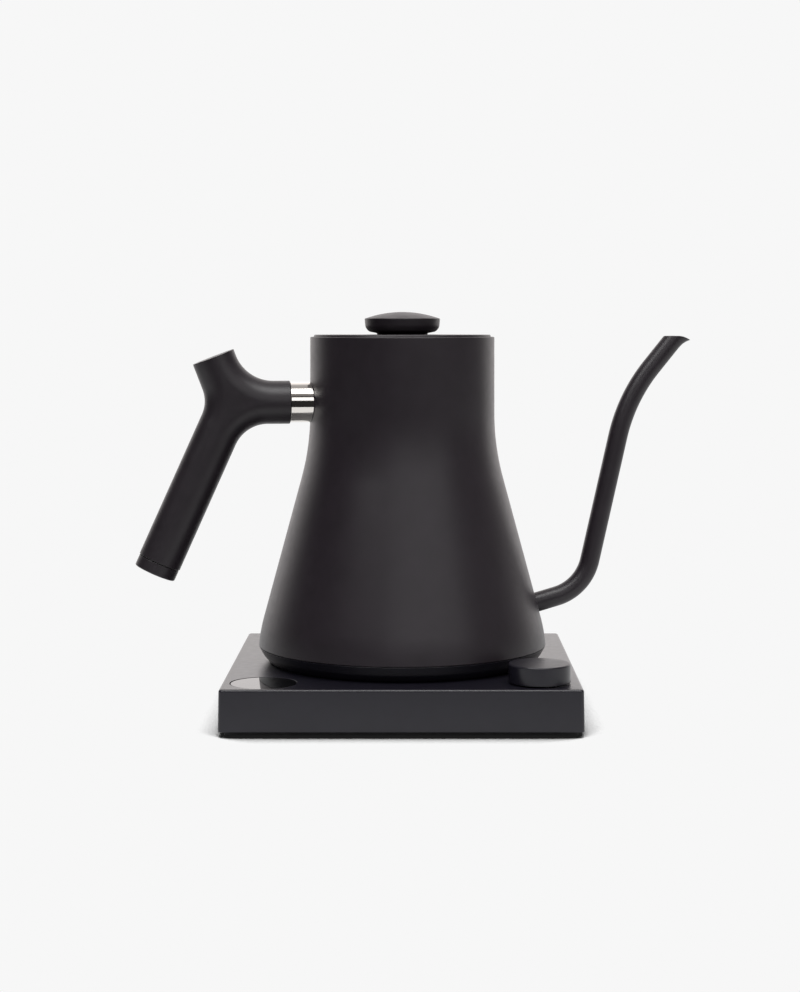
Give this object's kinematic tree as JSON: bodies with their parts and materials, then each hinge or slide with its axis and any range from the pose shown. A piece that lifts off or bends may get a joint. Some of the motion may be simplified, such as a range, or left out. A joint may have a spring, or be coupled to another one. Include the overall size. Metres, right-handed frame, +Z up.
{
  "type": "electric kettle",
  "caption": "Gooseneck electric kettle with a conical body, counterweighted handle and lift-off lid, on a square cordless base with a dial and a round display.",
  "frame": {"origin": "on the floor under the middle of the whole object's length and width", "axes": "+Z up, +X towards the spout, +Y towards the back of the base (the controls are at the front, -Y)"},
  "size_m": [0.2886, 0.175, 0.2037],
  "materials": {
    "body_paint": "matte black powder coat on stainless steel",
    "handle_plastic": "matte black, fine texture",
    "base_plastic": "black, satin",
    "inner_plastic": "dark grey, as moulded",
    "display_gloss": "gloss black window",
    "bright_steel": "bright turned stainless steel",
    "brushed_steel": "satin",
    "aluminium": "satin",
    "brass": "satin",
    "rubber": "matte black",
    "silicone": "grey silicone",
    "circuit_board": "green board",
    "component_plastic": "moulded case"
  },
  "bodies": {
    "base": {"base_housing": "base_plastic", "base_plate": "inner_plastic", "foot_1": "rubber", "foot_2": "rubber", "foot_3": "rubber", "foot_4": "rubber", "base_screw_1": "brushed_steel", "base_screw_2": "brushed_steel", "base_screw_3": "brushed_steel", "base_screw_4": "brushed_steel", "display_lens": "display_gloss", "display_module": "inner_plastic", "control_board": "circuit_board", "power_board": "circuit_board", "relay": "component_plastic", "transformer": "inner_plastic", "capacitor": "aluminium", "base_connector": "inner_plastic", "live_contact": "brass", "neutral_contact": "brass", "encoder_housing": "brushed_steel", "encoder_dome": "brushed_steel", "hold_switch_body": "brushed_steel", "cord_gland": "rubber"},
    "encoder": {"encoder_rotor": "brass"},
    "dial": {"dial_shaft": "brushed_steel", "dial_cap": "base_plastic"},
    "hold_slide": {"hold_slider": "inner_plastic"},
    "kettle_socket": {"kettle_connector": "inner_plastic", "socket_pin": "brass", "socket_ring": "brass"},
    "kettle": {"kettle_shell": "body_paint", "kettle_floor": "brushed_steel", "heat_plate": "aluminium", "heating_element": "brushed_steel", "under_cover": "base_plastic", "under_cover_screw_1": "brushed_steel", "under_cover_screw_2": "brushed_steel", "under_cover_screw_3": "brushed_steel", "thermal_cutout": "inner_plastic", "temperature_probe": "brushed_steel", "probe_seal": "silicone", "spout": "body_paint", "handle_boss": "body_paint", "handle_collar": "bright_steel", "handle_grip": "handle_plastic", "handle_end_cap": "handle_plastic", "handle_weight": "brushed_steel", "handle_stud": "brushed_steel"},
    "lid": {"lid_plate": "body_paint", "lid_cup": "inner_plastic", "lid_seal": "silicone", "lid_knob": "handle_plastic", "lid_knob_screw": "brushed_steel"}
  },
  "joints": [
    {"name": "kettle_lift", "type": "slide", "parent": "base", "child": "kettle_socket", "axis": [0, 0, 1], "range_m": [0, 0.08]},
    {"name": "kettle_swivel", "type": "hinge", "parent": "kettle_socket", "child": "kettle", "pos_m": [-0.00838, 0, 0.0312], "axis": [0, 0, 1], "continuous": true},
    {"name": "lid_lift", "type": "slide", "parent": "kettle", "child": "lid", "axis": [0, 0, 1], "range_m": [0, 0.05]},
    {"name": "dial_turn", "type": "hinge", "parent": "base", "child": "encoder", "pos_m": [0.05862, -0.0688, 0.017], "axis": [0, 0, 1], "continuous": true},
    {"name": "dial_press", "type": "slide", "parent": "encoder", "child": "dial", "axis": [0, 0, -1], "range_m": [0, 0.0005], "stiffness_N_per_m": 4000, "springref_m": -0.0005, "deforming": ["encoder_dome"]},
    {"name": "hold_switch", "type": "slide", "parent": "base", "child": "hold_slide", "axis": [1, 0, 0], "range_m": [0, 0.004]}
  ]
}
